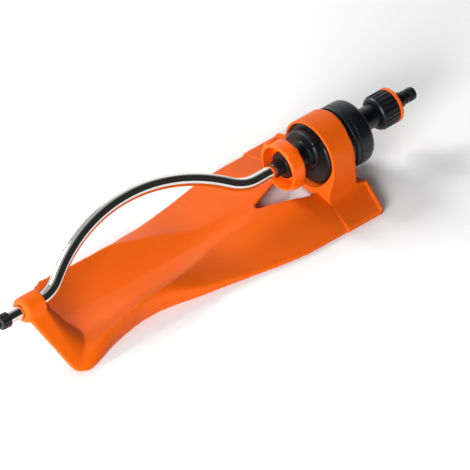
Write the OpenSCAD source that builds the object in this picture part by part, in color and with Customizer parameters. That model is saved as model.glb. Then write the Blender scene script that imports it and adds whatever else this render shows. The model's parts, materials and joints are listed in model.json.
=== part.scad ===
// Oscillating lawn sprinkler with a gear-driven spray tube.
// Frame: X runs along the swing axis towards the hose inlet, Z is up,
// and the origin lies on the ground below the swing axis, midway between the two ends.

/* [Sled] */
// Length of the moulded sled
sled_len = 412; // [405:1:415]
// Half width of the sled at the motor end
sled_half_w = 76; // [72:1:78]
// Half width of the sled at its waist
waist_half_w = 45.5; // [42:0.5:50]
// Half width of the foot under the tube's free end
foot_half_w = 67; // [60:1:70]
// Thickness of the sled's moulded wall
wall = 2.8; // [2:0.1:3.5]

/* [Spray tube] */
// Height of the swing axis above the ground
axis_z = 47; // [44:1:52]
// Outer diameter of the spray tube
tube_d = 13; // [12:0.5:14]
// Wall thickness of the spray tube
tube_wall = 1; // [0.8:0.1:1.2]
// Angle that the tube climbs at before the top bend
climb = 36; // [33:1:38]
// Radius of the two end bends
end_bend_r = 45; // [40:1:50]
// Radius of the long top bend
top_bend_r = 180; // [170:1:190]
// Number of drilled jets
jets = 17; // [9:2:21]
// Tilt of the tube away from upright when it is at rest
rest_tilt = 45; // [30:1:60]

/* [Motor] */
// Outer diameter of the rear cap
cap_d = 66; // [64:1:68]
// Height of the motor's centre line above the ground
motor_z = 42.6; // [42:0.2:44]
// Module of the reduction gears
gear_m = 0.7; // [0.6:0.1:0.7]
// Teeth on each gear wheel
wheel_t = 30; // [28:1:30]
// Teeth on each pinion
pinion_t = 12; // [11:1:12]

/* [Inlet] */
// Outer diameter of the ribbed nut
nut_d = 36; // [34:1:38]
// Diameter of the quick-connect nose
nose_d = 13.4; // [13.2:0.1:13.6]

/* [Hidden] */
$fn = 64;

// Places along X, given by their distance from the boss's outer tip
foot_x = -240;
function at(u) = foot_x + u;
sled_end_x = at(sled_len);             // motor end of the sled
boss_end_x = at(24.5);                 // inner face of the boss and start of the first bend
stub_x = at(-15);                      // free end of the tube
plug_x = at(-26);                      // outer face of the end plug
bend_end_x = at(301);                  // end of the last bend
spindle_x = at(323.5);                 // open end of the output spindle
ring_x = at(329.5);                    // open mouth of the control ring
nose_x = at(343);                      // tip of the housing's bearing nose
face_x = at(373.5);                    // floor of the groove in the motor's front
train_x = at(378);                     // front face of the first wheel
plate_x = at(399);                     // front face of the gear plate
turbine_x = at(402.5);                 // front face of the turbine
seam_x = at(406.5);                    // end of the housing's side wall
cap_x = at(404.5);                     // mouth of the rear cap
jet_x = at(412);                       // front face of the jet plate
valve_x = at(415.3);                   // front face of the reversing valve
cap_end_x = at(428);                   // rear face of the cap
neck_end_x = at(466.5);                // threaded end of the inlet neck
nut_x = at(453.5);                     // front face of the nut
nut_end_x = at(474.5);                 // rear face of the nut
trim_end_x = at(478);                  // rear face of the trim ring
nose_tip_x = at(506);                  // tip of the quick-connect nose

// Radii
tube_r = tube_d / 2;
run_gap = 0.06;                        // radial clearance of a running fit
bush_r = 8.5;
boss_r = 13;
sleeve_r = 7.8;
spindle_r = 7;
flange_r = 14;
nose_boss_r = 15;
housing_r = 31.5;
housing_in_r = 28.5;
bridge_in_r = 32.2;
bridge_r = 34.6;
bridge_leg = 37;                       // half width across the legs
bridge_foot_z = 9;                     // height of the pads that the legs stand on
corner_cut = 14;                       // how far the motor end is cut back at its corners
cap_r = cap_d / 2;
cap_in_r = 30.3;
neck_r = 11.75;
thread_r = 13.2;
arbor_r = 1.25;

// Gear train
centre_gap = gear_m * (wheel_t + pinion_t) / 2;
lay_z = axis_z - centre_gap;           // height of the lay shaft
pressure = 25;                         // pressure angle
addendum = 0.8 * gear_m;
dedendum = 1.05 * gear_m;
backlash = 0.12;                       // arc removed from each tooth
wheel_w = 4;
wheel_pitch = 5;                       // from one wheel's face to the next

// Each curve below is a list of stations: distance from the boss's outer tip, then the value there.
// Half width at the ground
WIDTHS = [[0, foot_half_w], [30, foot_half_w], [42, 64.5], [58, 59], [75, 53.5], [95, 49],
    [120, waist_half_w], [148, 47], [180, 54], [207, 58.5], [240, 65], [290, 74], [320, 76.5], [401, sled_half_w]];
// Height of the upper edge of the side walls
WALL_TOPS = [[0, 3], [25, 3], [75, 13], [95, 17], [120, 21], [148, 19], [195, 10], [230, 6.6], [255, 5],
    [352, 5], [401, 6]];
// Height of the valley along the centre line
VALLEYS = [[0, 15], [40, 13], [70, 9], [110, 6.5], [180, 6], [230, 7.5], [290, 13], [340, 14], [401, 14]];
// Half distance between the two ridges beside the valley, and their height
RIDGES = [[0, 61], [30, 57], [75, 50], [95, 46.5], [120, 43], [148, 40.5], [180, 32], [207, 24], [235, 14],
    [280, 11], [401, 11]];
RIDGE_TOPS = [[0, 6], [30, 9], [50, 14], [75, 17.5], [95, 20], [120, 23], [148, 23.2], [180, 19], [207, 15],
    [235, 11.5], [290, 13.4], [340, 14.2], [401, 14.2]];

// ---------- Shared functions ----------

// Slope of a curve through the stations, at station i
function slope(stations, i) =
    let (a = stations[max(0, i - 1)], b = stations[min(len(stations) - 1, i + 1)])
    (b[1] - a[1]) / (b[0] - a[0]);

// Value at x of the smooth curve through the stations
function along(stations, x, i = 0) =
    i >= len(stations) - 1 ? stations[len(stations) - 1][1]
    : x > stations[i + 1][0] ? along(stations, x, i + 1)
    : let (
        a = stations[i],
        b = stations[i + 1],
        span = b[0] - a[0],
        t = max(0, (x - a[0]) / span)
    )
    a[1] * (1 + 2 * t) * (1 - t) * (1 - t) + b[1] * t * t * (3 - 2 * t)
        + span * t * (1 - t) * ((1 - t) * slope(stations, i) - t * slope(stations, i + 1));

function mix(a, b, t) = a + (b - a) * t;
function clamp01(t) = min(1, max(0, t));

// Height of the gable that carries the boss, at the share t of the half width
function gable_z(t) = (axis_z + 6) * (1 - t);

// Where the sled starts, where the gable starts and stops falling, and the step up to the pads.
// The free end is cut on the slant: the front foot stands below the boss, the back one far behind it.
function sled_start(t, back) =
    at(back ? 1 + 72 * pow(t, 1.15) : 1 + 17 * pow(t, 1.2) + 10 * pow(clamp01((t - 0.9) / 0.1), 2));
function fade_start(t, back) = max(at(24 + (back ? 0 : t)), sled_start(t, back) + 4);
function fade_end(t, back) = fade_start(t, back) + mix(34, 70, t);
function pad_start(t) = at(mix(362, 352.5, t));
function gable_fade(x, t, back) =
    clamp01((fade_end(t, back) - x) / (fade_end(t, back) - fade_start(t, back)));

// Top of the low pads beside the bridge, at the half distance y
function pad_z(y) = mix(bridge_foot_z, 6, clamp01((y - bridge_leg) / (sled_half_w - bridge_leg)));

// Where the motor end stands: cut back towards the two corners
function end_x(j) = sled_end_x - corner_cut * clamp01((pad_share(j) - 0.48) / 0.52);

// The rounded drop at the motor end
function end_drop(x, j) = let (d = clamp01((end_x(j) - x) / 4)) mix(0.3, 1, pow(1 - pow(1 - d, 2.2), 0.5));

// The columns run from the valley to the ridge, from there to the wall's edge and down the wall
RIDGE_COL = 5;
EDGE_COL = 11;
SLED_COLS = 14;
SLED_ROWS = 52;

// Share of the half width that column j stands at, at the foot and at the pads
function foot_share(j) = column_y(at(20), j) / foot_half_w;
function pad_share(j) = column_y(at(355), j) / sled_half_w;
function step_x(j) = pad_start(clamp01(pad_share(j)));

// Rows follow the creases: the gable's crest, its foot, the step to the pads and the rounded end
function row_x(i, j, back) =
    let (t = clamp01(foot_share(j)))
    i <= 3 ? mix(sled_start(t, back), fade_start(t, back), i / 3)
    : i <= 10 ? mix(fade_start(t, back), fade_end(t, back), (i - 3) / 7)
    : i <= 43 ? mix(fade_end(t, back), step_x(j), (i - 10) / 33)
    : i == 44 ? step_x(j) + 0.2
    : mix(step_x(j) + 0.2, end_x(j), pow((i - 44) / 8, 0.6));

// Half distance from the centre line of column j at x
function column_y(x, j) =
    let (
        u = x - foot_x,
        half = along(WIDTHS, u),
        ridge = along(RIDGES, u),
        edge = half - 2.4
    )
    j <= RIDGE_COL ? ridge * j / RIDGE_COL
    : j <= EDGE_COL ? mix(ridge, edge, (j - RIDGE_COL) / (EDGE_COL - RIDGE_COL))
    : half - [1.1, 0.4, 0][j - EDGE_COL - 1];

// Height of the skin at x in column j, which is y away from the centre line
function skin_z(x, j, y) =
    let (
        u = x - foot_x,
        wall_top = x > step_x(j) ? pad_z(y) : along(WALL_TOPS, u),
        ridge_top = along(RIDGE_TOPS, u),
        q = (j - RIDGE_COL) / (EDGE_COL - RIDGE_COL)
    )
    j > EDGE_COL ? wall_top * [0.93, 0.75, 0][j - EDGE_COL - 1]
    : x > step_x(j) ? wall_top
    : j <= RIDGE_COL ? mix(along(VALLEYS, u), ridge_top, pow(j / RIDGE_COL, 1.25))
    : mix(ridge_top, wall_top, pow(q, 1.35));

function sled_point(i, j) =
    let (
        n = abs(j),
        x = row_x(i, n, j > 0),
        y = column_y(x, n),
        t = clamp01(y / along(WIDTHS, x - foot_x)),
        z = max(skin_z(x, n, y), gable_z(t) * gable_fade(x, t, j > 0))
    )
    [x, sign(j) * y, x > step_x(n) ? z * end_drop(x, n) : z];
function inner_point(i, j) =
    let (p = sled_point(i, j), half = along(WIDTHS, p[0] - foot_x))
    [min(p[0], end_x(abs(j)) - wall), p[1] * (1 - wall / half), max(0, p[2] - wall)];

// ---------- Shared modules ----------

// Places an outline drawn in the Y-Z plane at x on the swing axis and extrudes it along X
module along_x(x, length, z = axis_z) {
    translate([x, 0, z]) rotate([90, 0, 90]) linear_extrude(length) children();
}

// Cylinder along X from x to x + length
module rod(x, length, r, z = axis_z) {
    translate([x, 0, z]) rotate([0, 90, 0]) cylinder(h = length, r = r);
}

// Tapered rod along X
module cone(x, length, r1, r2, z = axis_z) {
    translate([x, 0, z]) rotate([0, 90, 0]) cylinder(h = length, r1 = r1, r2 = r2);
}

// Round section ring about X
module o_ring(x, ring_r, section_r, z = axis_z) {
    translate([x, 0, z]) rotate([0, 90, 0])
        rotate_extrude() translate([ring_r, 0]) circle(r = section_r, $fn = 24);
}

// Ribs standing out of a cylinder along X
module grip_ribs(x, length, r, count, width, depth) {
    for (i = [0 : count - 1])
        translate([x, 0, axis_z]) rotate([i * 360 / count, 0, 0])
            translate([0, -width / 2, r - depth]) cube([length, width, 2 * depth]);
}

// Point on an involute of base radius rb at radius r, as an angle from its root
function involute_angle(rb, r) =
    let (a = acos(min(1, rb / r))) tan(a) * 180 / PI - a;

// Gear outline with one tooth centred on the first axis
module gear_outline(teeth) {
    rp = gear_m * teeth / 2;
    rb = rp * cos(pressure);
    ra = rp + addendum;
    rf = rp - dedendum;
    half = 90 / teeth - backlash / 2 / rp * 180 / PI + involute_angle(rb, rp);
    start = max(rb, rf);
    flank = [for (k = [0 : 4]) let (r = mix(start, ra, k / 4)) [r, half - involute_angle(rb, r)]];
    polygon([for (i = [0 : teeth - 1], side = [-1, 1], k = [0 : 5])
        let (
            n = side < 0 ? k : 5 - k,
            r = n == 0 ? rf : flank[n - 1][0],
            a = i * 360 / teeth + side * (n == 0 ? half : flank[n - 1][1])
        )
        [r * cos(a), r * sin(a)]]);
}

// Gear along X: phase is the direction in which a tooth points, in degrees from +Y towards +Z
module gear(x, width, teeth, phase, z) {
    along_x(x, width, z) rotate(phase) gear_outline(teeth);
}

// A wheel and a pinion moulded as one and drilled for an arbor
module compound_gear(wheel_at, pinion_at, phase_wheel, phase_pinion, z) {
    difference() {
        union() {
            gear(wheel_at, wheel_w, wheel_t, phase_wheel, z);
            gear(pinion_at, wheel_w, pinion_t, phase_pinion, z);
            rod(min(wheel_at, pinion_at), wheel_w + wheel_pitch, 3.2, z);
        }
        rod(min(wheel_at, pinion_at) - 1, wheel_w + wheel_pitch + 2, arbor_r + run_gap, z);
    }
}

// ---------- Sled and bridge ----------

module sled_shell() {
    cols = 2 * SLED_COLS + 1;
    rows = SLED_ROWS + 1;
    top = [for (i = [0 : SLED_ROWS], j = [-SLED_COLS : SLED_COLS]) sled_point(i, j)];
    low = [for (i = [0 : SLED_ROWS], j = [-SLED_COLS : SLED_COLS]) inner_point(i, j)];
    n = rows * cols;
    skin = [for (i = [0 : rows - 2], j = [0 : cols - 2], h = [0, 1])
        let (a = i * cols + j, b = a + 1, c = a + cols, d = c + 1)
        h == 0 ? [a, b, d] : [a, d, c]];
    under = [for (f = skin) [f[0] + n, f[2] + n, f[1] + n]];
    left = [for (j = [0 : cols - 2], h = [0, 1]) h == 0 ? [j, n + j, n + j + 1] : [j, n + j + 1, j + 1]];
    last = (rows - 1) * cols;
    right = [for (j = [0 : cols - 2], h = [0, 1])
        let (a = last + j) h == 0 ? [a, a + 1, n + a + 1] : [a, n + a + 1, n + a]];
    front = [for (i = [0 : rows - 2], h = [0, 1])
        let (a = i * cols) h == 0 ? [a, a + cols, n + a + cols] : [a, n + a + cols, n + a]];
    back = [for (i = [0 : rows - 2], h = [0, 1])
        let (a = i * cols + cols - 1) h == 0 ? [a, n + a, n + a + cols] : [a, n + a + cols, a + cols]];
    polyhedron(concat(top, low), concat(skin, under, left, right, front, back), convexity = 8);
}

// Rib across the sled's underside that follows the skin
module sled_rib(x) {
    outline = [for (j = [-EDGE_COL : EDGE_COL])
        let (y = column_y(x, abs(j)))
        [sign(j) * (y - wall / 2), max(1, skin_z(x, abs(j), y) - wall / 2)]];
    along_x(x, wall, 0) polygon(concat([[-outline[0][0], 0], [outline[0][0], 0]], outline));
}

// Raised rim along the cut corners of the motor end
module corner_rims() {
    for (side = [-1, 1])
        translate([0, 0, 3]) linear_extrude(7.5)
            polygon([for (p = [[411, 38.5], [398.6, 73.5], [396.2, 72.5], [408.6, 38.5]]) [at(p[0]), side * p[1]]]);
}

// Teardrop with its point towards the tube's free end
module teardrop() {
    hull() {
        translate([at(356.5), 0]) circle(r = 20, $fn = 48);
        translate([at(305.5), 0]) circle(r = 3.5, $fn = 32);
    }
}

module base_sled() {
    color("orangered") difference() {
        union() {
            sled_shell();
            rod(foot_x + 2, boss_end_x - foot_x - 2, boss_r);
            cone(foot_x, 2, boss_r - 2, boss_r);
            for (u = [90, 200, 300, 381]) sled_rib(at(u));
            corner_rims();
        }
        rod(foot_x - 1, 26, bush_r);
        rod(foot_x + 24, 12, 9.5);
        screw_places() cylinder(h = 20, r = 1.6);
        translate([0, 0, -1]) linear_extrude(40) teardrop();
    }
}

module bridge_profile() {
    difference() {
        union() {
            translate([0, motor_z]) circle(r = bridge_r);
            translate([0, motor_z]) scale([bridge_leg / bridge_r, 0.8]) circle(r = bridge_r);
            translate([-bridge_leg, bridge_foot_z]) square([2 * bridge_leg, motor_z - bridge_foot_z]);
        }
        translate([0, motor_z]) circle(r = bridge_in_r);
    }
}

// Side view of the bridge: upright front face that sweeps forward at the feet, rear edge that swells
module bridge_side() {
    low = bridge_foot_z;
    polygon([for (p = [[362.6, low], [362.6, 16], [363, 19], [366.5, 28], [369.5, 36], [370.5, 46], [370.5, 84],
        [400.5, 84], [400.5, 77], [399.5, 73], [398.5, 67], [398.5, 40], [399, 34], [399, low]]) [at(p[0]), p[1]]]);
}

module motor_bridge() {
    color("orangered") difference() {
        intersection() {
            along_x(at(350), 65, 0) bridge_profile();
            translate([0, 90, 0]) rotate([90, 0, 0]) linear_extrude(180) bridge_side();
        }
        screw_places() cylinder(h = 16, r = 1.5);
        rod(cap_x - 0.3, 20, cap_r + 0.1, motor_z);
    }
}

// The four screws that hold the bridge, drawn from the underside of the sled's skin
module screw_places() {
    for (u = [370, 389.5], y = [-33.5, 33.5]) translate([at(u), y, bridge_foot_z - wall - 2.6]) children();
}

module bridge_screws() {
    color("silver") screw_places() {
        cylinder(h = 15, r = 1.5);
        cylinder(h = 2, r = 3);
    }
}

module tube_end_bush() {
    color("dimgray") difference() {
        rod(foot_x + 1.5, 24, bush_r);
        rod(foot_x, 30, tube_r + run_gap);
    }
}

// ---------- Spray tube ----------

rise_half = (bend_end_x - boss_end_x) / 2;
climb_len = (rise_half - (end_bend_r + top_bend_r) * sin(climb)) / cos(climb);
peak_x = boss_end_x + rise_half;
peak_rise = (end_bend_r + top_bend_r) * (1 - cos(climb)) + climb_len * sin(climb);

// Path of the arch by distance along it: bend, straight climb and half of the top bend, then mirrored
end_arc = end_bend_r * climb * PI / 180;
top_arc = top_bend_r * climb * PI / 180;
half_path = end_arc + climb_len + top_arc;

// Angle of the climb at a distance along half of the arch
function half_angle(d) =
    d < end_arc ? d / end_bend_r * 180 / PI
    : d < end_arc + climb_len ? climb
    : climb - (d - end_arc - climb_len) / top_bend_r * 180 / PI;

// Point of half of the arch as [distance from the first bend, rise]
function half_point(d) =
    let (
        a = half_angle(d),
        e = min(climb, d / end_bend_r * 180 / PI),
        bend = end_bend_r * [sin(e), 1 - cos(e)],
        run = clamp01((d - end_arc) / climb_len) * climb_len * [cos(climb), sin(climb)],
        top = d > end_arc + climb_len ? top_bend_r * [sin(climb) - sin(a), cos(a) - cos(climb)] : [0, 0]
    )
    bend + run + top;
function arch_point(d) =
    d <= half_path ? half_point(d) + [boss_end_x, 0]
    : let (p = half_point(2 * half_path - d)) [2 * peak_x - boss_end_x - p[0], p[1]];
function arch_angle(d) = d <= half_path ? half_angle(d) : -half_angle(2 * half_path - d);

ARCH_RINGS = 44;
ARCH_SIDES = 20;

// The arch as a closed sweep of a section radius r
module arch(r) {
    rings = [for (i = [0 : ARCH_RINGS])
        let (d = 2 * half_path * i / ARCH_RINGS, p = arch_point(d), a = arch_angle(d))
        for (k = [0 : ARCH_SIDES - 1])
            let (c = r * cos(k * 360 / ARCH_SIDES), h = r * sin(k * 360 / ARCH_SIDES))
            [p[0] - h * sin(a), c, axis_z + p[1] + h * cos(a)]];
    last = ARCH_RINGS * ARCH_SIDES;
    sides = [for (i = [0 : ARCH_RINGS - 1], k = [0 : ARCH_SIDES - 1], h = [0, 1])
        let (
            a = i * ARCH_SIDES + k,
            b = i * ARCH_SIDES + (k + 1) % ARCH_SIDES
        )
        h == 0 ? [a, b + ARCH_SIDES, b] : [a, a + ARCH_SIDES, b + ARCH_SIDES]];
    caps = [[for (k = [0 : ARCH_SIDES - 1]) k], [for (k = [1 : ARCH_SIDES]) last + ARCH_SIDES - k]];
    polyhedron(rings, concat(sides, caps), convexity = 4);
}

module tube_body(r, stub, reach_x) {
    arch(r - 0.04);
    rod(stub, boss_end_x + 0.3 - stub, r);
    rod(bend_end_x - 0.3, reach_x - bend_end_x + 0.3, r);
}

module spray_tube() {
    color("silver") swung() difference() {
        tube_body(tube_r, stub_x, spindle_x + 9.5);
        tube_body(tube_r - tube_wall, stub_x - 1, spindle_x + 11);
        for (i = [0 : jets - 1])
            let (a = mix(-climb + 3, climb - 3, i / (jets - 1)))
            translate([peak_x, 0, axis_z + peak_rise - top_bend_r]) rotate([0, a, 0])
                translate([0, 0, top_bend_r]) cylinder(h = 10, r = 0.6, $fn = 16);
    }
}

// Turns a piece of the swinging body from upright to its rest tilt
module swung() {
    translate([0, 0, axis_z]) rotate([-rest_tilt, 0, 0]) translate([0, 0, -axis_z]) children();
}

module end_plug() {
    color("black") difference() {
        union() {
            rod(plug_x + 1, stub_x - plug_x - 1, 7.2);
            cone(plug_x, 1, 6.4, 7.2);
            grip_ribs(plug_x + 1.5, 10, 7.2, 12, 1.8, 0.5);
            rod(stub_x - 0.5, 8.5, tube_r - tube_wall - 0.2);
        }
        o_ring(stub_x + 4, 5.1, 0.9);
        rod(plug_x - 1, 3, 3.4);
        rod(plug_x + 3, 40, 0.6);
    }
}

module cleaning_needle() {
    color("silver") {
        rod(plug_x + 3, 34, 0.45);
    }
}

module plug_oring() {
    color("black") o_ring(stub_x + 4, 4.85, 0.6);
}

module output_spindle() {
    color("black") difference() {
        union() {
            rod(spindle_x, 12, sleeve_r);
            rod(spindle_x + 11.5, 2.5, flange_r);
            rod(spindle_x + 13, train_x - spindle_x - 13, spindle_r);
            grip_ribs(spindle_x + 1, 9, sleeve_r, 8, 1.6, 0.4);
        }
        rod(spindle_x - 3, 12.5, tube_r);
        rod(spindle_x - 3, 60, 4.6);
        o_ring(spindle_x + 5, tube_r, 0.9);
    }
}

module tube_oring() {
    color("black") o_ring(spindle_x + 5, tube_r + 0.45, 0.41);
}

// ---------- Motor ----------

module control_ring() {
    inner = 21.5;
    color("darkorange") difference() {
        union() {
            rod(ring_x, 16, inner + 3);
            for (a = [-48, 29, 120, 207])
                translate([ring_x, 0, axis_z]) rotate([a, 0, 0])
                    translate([0, -3.5, inner]) cube([16, 7, 5]);
        }
        rod(ring_x - 1, 14, inner);
        rod(ring_x, 20, nose_boss_r + run_gap);
    }
}

// Sector of a disc in the Y-Z plane about the motor's centre
module lobe_outline(r, from, to) {
    intersection() {
        circle(r = r);
        polygon([[0, 0], for (k = [0 : 4]) let (a = mix(from, to, k / 4)) 60 * [cos(a), sin(a)]]);
    }
}

module front_housing() {
    color("dimgray") difference() {
        union() {
            rod(face_x, seam_x - 5 - face_x, housing_r, motor_z);
            rod(seam_x - 6, 6, cap_in_r - 0.1, motor_z);
            along_x(face_x - 4.5, 6, motor_z) lobe_outline(housing_r - 0.5, 138, 325);
            along_x(face_x - 11, 12, motor_z) lobe_outline(27, -25, 120);
            rod(nose_x, 15, nose_boss_r);
            cone(nose_x + 14.5, 8, nose_boss_r, 16);
            rod(nose_x + 22, face_x - nose_x - 21, 16);
        }
        rod(face_x + 3, 40, housing_in_r, motor_z);
        rod(nose_x - 1, 50, spindle_r + run_gap);
        rod(nose_x - 1, 4, 9.5);
        rod(nose_x + 25, 20, 9.5);
        rod(face_x - 0.5, 10, arbor_r, lay_z);
        o_ring(seam_x - 2.5, 30.2, 1.4, motor_z);
    }
}

module spindle_seal() {
    color("black") difference() {
        rod(nose_x + 0.2, 2.6, 9.5);
        rod(nose_x - 1, 6, spindle_r + run_gap);
    }
}

module output_gear() {
    color("ivory") difference() {
        union() {
            gear(train_x, wheel_w, wheel_t, -90, axis_z);
            rod(train_x - 3, 4, 8.9);
        }
        rod(train_x - 4, 4, spindle_r);
        rod(train_x - 1, 6, arbor_r + run_gap);
        for (i = [0 : 4])
            translate([train_x - 1, 0, axis_z]) rotate([i * 72, 0, 0])
                translate([0, 0, 3.1]) rotate([0, 90, 0]) cylinder(h = 6, r = 1.1, $fn = 24);
    }
}

module lay_gear_front() {
    color("ivory") compound_gear(train_x + wheel_pitch, train_x,
        90 + 180 / wheel_t, 90 + 180 / pinion_t, lay_z);
}

module main_gear() {
    color("ivory") compound_gear(train_x + 2 * wheel_pitch, train_x + wheel_pitch, -90, -90, axis_z);
}

module lay_gear_rear() {
    color("ivory") compound_gear(train_x + 3 * wheel_pitch, train_x + 2 * wheel_pitch,
        90 + 180 / wheel_t, 90 + 180 / pinion_t, lay_z);
}

module main_arbor() {
    color("silver") rod(train_x + 0.8, jet_x + 2 - train_x, arbor_r);
}

module lay_arbor() {
    color("silver") rod(face_x, plate_x + 1.5 - face_x, arbor_r, lay_z);
}

module gear_plate() {
    color("dimgray") difference() {
        rod(plate_x, 2, housing_in_r - 0.02, motor_z);
        rod(plate_x - 1, 4, 3.6);
        rod(plate_x - 1, 4, arbor_r, lay_z);
        for (a = [30 : 60 : 330])
            translate([plate_x - 1, 0, motor_z]) rotate([a, 0, 0])
                translate([0, 0, 24]) rotate([0, 90, 0]) cylinder(h = 4, r = 2.5);
    }
}

module turbine() {
    color("ivory") difference() {
        union() {
            gear(train_x + 3 * wheel_pitch, wheel_w, pinion_t, -90, axis_z);
            rod(train_x + 3 * wheel_pitch + 3, 7, 3.2);
            rod(turbine_x, 8, 5);
            rod(turbine_x, 1.5, 20);
            for (i = [0 : 11])
                translate([turbine_x, 0, axis_z]) rotate([i * 30, 0, 0])
                    translate([0, -0.6, 4]) cube([8, 1.2, 16]);
        }
        rod(train_x + 10, 30, arbor_r + run_gap);
    }
}

module jet_plate() {
    color("dimgray") difference() {
        union() {
            rod(jet_x, 2.5, housing_in_r, motor_z);
            rod(jet_x + 2, 5.5, 3);
        }
        rod(jet_x - 1, 4, arbor_r);
        for (i = [0 : 5])
            translate([jet_x - 1, 0, axis_z]) rotate([i * 60, 0, 0])
                translate([0, 0, 13]) rotate([0, 90, 0]) cylinder(h = 6, r = 1.8, $fn = 24);
    }
}

module reversing_valve() {
    color("darkorange") difference() {
        union() {
            rod(valve_x, 1.8, 17);
            rod(valve_x, 3.5, 5);
            translate([valve_x, -2, axis_z - 23]) cube([1.8, 4, 9]);
        }
        rod(valve_x - 1, 8, 3 + run_gap);
        for (i = [0 : 5])
            translate([valve_x - 1, 0, axis_z]) rotate([i * 60 + 12, 0, 0])
                translate([0, 0, 13]) rotate([0, 90, 0]) cylinder(h = 6, r = 2, $fn = 24);
    }
}

// Half section of the cap about the motor's centre, drawn along its axis
module cap_section() {
    cap_len = cap_end_x - cap_x;
    polygon(concat([[0, cap_len - 3], [cap_in_r, cap_len - 3], [cap_in_r, 0], [cap_r - 0.8, 0], [cap_r, 0.8],
        [cap_r, 4], [cap_r - 0.7, 4.4], [cap_r - 0.7, 5], [cap_r, 5.4]],
        [for (a = [0 : 15 : 90]) [cap_r - 5 + 5 * cos(a), cap_len - 5 + 5 * sin(a)]], [[0, cap_len]]));
}

module rear_cap() {
    color("dimgray") difference() {
        union() {
            translate([cap_x, 0, motor_z]) rotate([0, 90, 0]) rotate_extrude($fn = 128) cap_section();
            cone(cap_end_x - 0.5, 2.5, 14, neck_r);
            rod(cap_end_x, neck_end_x - cap_end_x, neck_r);
            rod(nut_x + 2, neck_end_x - nut_x - 2, thread_r);
        }
        rod(cap_end_x - 4, 60, 8.5);
        rod(neck_end_x - 20, 30, 9.5);
    }
}

module housing_oring() {
    color("black") o_ring(seam_x - 2.5, 29.6, 0.65, motor_z);
}

module inlet_filter() {
    color("white") difference() {
        union() {
            rod(neck_end_x - 19, 18.5, 8);
            rod(neck_end_x - 2, 1.5, 9.4);
        }
        rod(neck_end_x - 17.8, 20, 6.8);
        for (i = [0 : 15])
            translate([neck_end_x - 16, -0.6, axis_z]) rotate([i * 22.5, 0, 0]) cube([12, 1.2, 12]);
    }
}

// ---------- Inlet ----------

module inlet_nut() {
    color("dimgray") difference() {
        union() {
            cone(nut_x, 1.5, nut_d / 2 - 2, nut_d / 2 - 0.6);
            rod(nut_x + 1.5, nut_end_x - nut_x - 1.5, nut_d / 2 - 0.6);
            grip_ribs(nut_x + 2.5, 17, nut_d / 2 - 0.6, 24, 1.8, 0.6);
        }
        rod(nut_x - 1, 18.7, thread_r + run_gap);
        rod(nut_x, 30, 9.3);
    }
}

module nut_trim_ring() {
    color("darkorange") difference() {
        rod(nut_end_x, trim_end_x - nut_end_x, 18.4);
        rod(nut_end_x - 1, 10, 9.3);
    }
}

module hose_washer() {
    color("black") difference() {
        rod(neck_end_x, 2, 12.4);
        rod(neck_end_x - 1, 4, 8.5);
    }
}

module hose_spigot() {
    color("black") difference() {
        union() {
            rod(neck_end_x + 2, 2.5, 12.6);
            rod(neck_end_x + 2, 13.5, 9.2);
            rod(nose_tip_x - 28, 7.5, 6.2);
            rod(nose_tip_x - 21.5, 5, 8);
            rod(nose_tip_x - 17, 5, 6);
            rod(nose_tip_x - 14, 13, nose_d / 2);
            cone(nose_tip_x - 1, 1, nose_d / 2, nose_d / 2 - 1);
        }
        rod(neck_end_x, 60, 4);
        o_ring(nose_tip_x - 8, 6.6, 1.1);
    }
}

module spigot_oring() {
    color("black") o_ring(nose_tip_x - 8, 6.2, 0.62);
}

base_sled();
motor_bridge();
bridge_screws();
tube_end_bush();
spray_tube();
end_plug();
cleaning_needle();
plug_oring();
output_spindle();
tube_oring();
control_ring();
front_housing();
spindle_seal();
output_gear();
lay_gear_front();
main_gear();
lay_gear_rear();
main_arbor();
lay_arbor();
gear_plate();
turbine();
jet_plate();
reversing_valve();
rear_cap();
housing_oring();
inlet_filter();
inlet_nut();
nut_trim_ring();
hose_washer();
hose_spigot();
spigot_oring();
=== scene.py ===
"""Oscillating lawn sprinkler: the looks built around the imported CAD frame."""

import json
import logging
import math
from dataclasses import dataclass, field
from enum import Enum
from typing import Iterable, Sequence

import bmesh
import bpy
import numpy as np
from mathutils import Matrix, Vector

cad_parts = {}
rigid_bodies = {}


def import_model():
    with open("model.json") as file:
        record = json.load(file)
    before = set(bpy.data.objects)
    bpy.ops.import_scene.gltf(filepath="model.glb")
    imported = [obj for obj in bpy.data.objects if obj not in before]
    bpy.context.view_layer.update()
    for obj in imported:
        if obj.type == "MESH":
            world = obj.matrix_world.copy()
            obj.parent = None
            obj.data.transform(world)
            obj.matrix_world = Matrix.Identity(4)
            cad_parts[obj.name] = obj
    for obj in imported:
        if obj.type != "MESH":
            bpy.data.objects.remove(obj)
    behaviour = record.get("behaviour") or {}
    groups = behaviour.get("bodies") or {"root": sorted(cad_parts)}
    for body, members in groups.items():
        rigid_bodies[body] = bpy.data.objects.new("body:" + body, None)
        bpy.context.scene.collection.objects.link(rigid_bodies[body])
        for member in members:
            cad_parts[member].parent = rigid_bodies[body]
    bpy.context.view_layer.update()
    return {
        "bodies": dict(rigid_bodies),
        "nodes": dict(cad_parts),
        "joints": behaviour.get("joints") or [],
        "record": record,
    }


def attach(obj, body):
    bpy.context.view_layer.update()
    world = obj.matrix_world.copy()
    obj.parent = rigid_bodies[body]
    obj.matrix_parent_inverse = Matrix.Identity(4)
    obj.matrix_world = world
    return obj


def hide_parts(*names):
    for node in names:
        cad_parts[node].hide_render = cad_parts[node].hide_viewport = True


Corner = tuple[float, float, float]
Stations = tuple[tuple[float, float], ...]

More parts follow.
